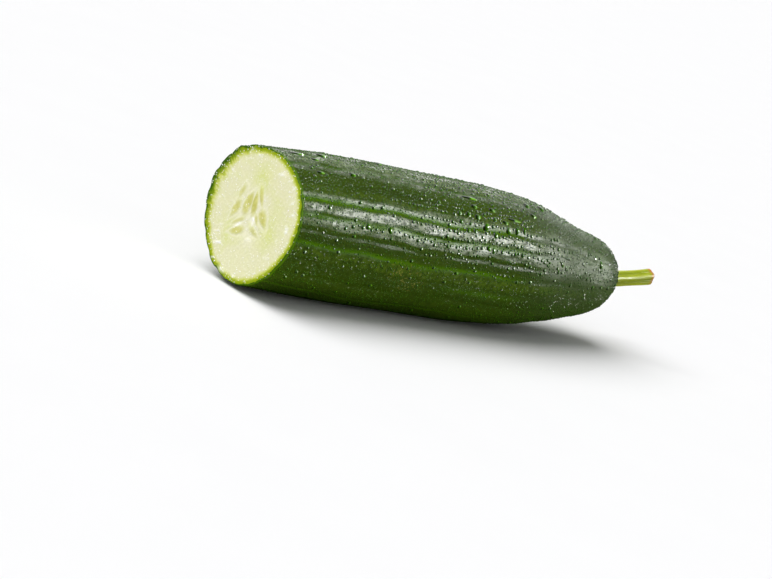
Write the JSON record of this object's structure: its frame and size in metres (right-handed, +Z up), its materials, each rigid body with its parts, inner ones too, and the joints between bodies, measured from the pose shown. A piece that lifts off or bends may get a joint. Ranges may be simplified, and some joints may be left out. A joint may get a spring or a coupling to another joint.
{
  "type": "half cucumber",
  "caption": "Stalk end of a ridged slicing cucumber, cut square across to show pale flesh and seeds, lying on its side with its stalk on.",
  "frame": {"origin": "on the floor, under the middle of the whole half and its stalk", "axes": "+X along the length, from the cut face towards the stalk; +Z up as it lies; +Y across, away from the side that the stalk end swings to"},
  "size_m": [0.2002, 0.0514, 0.0486],
  "materials": {
    "cucumber": "waxy, wet with dew, pale green flesh at the cut",
    "stalk": "satin, yellow-green"
  },
  "bodies": {
    "root": {"fruit": "cucumber", "stalk": "stalk"}
  },
  "joints": []
}
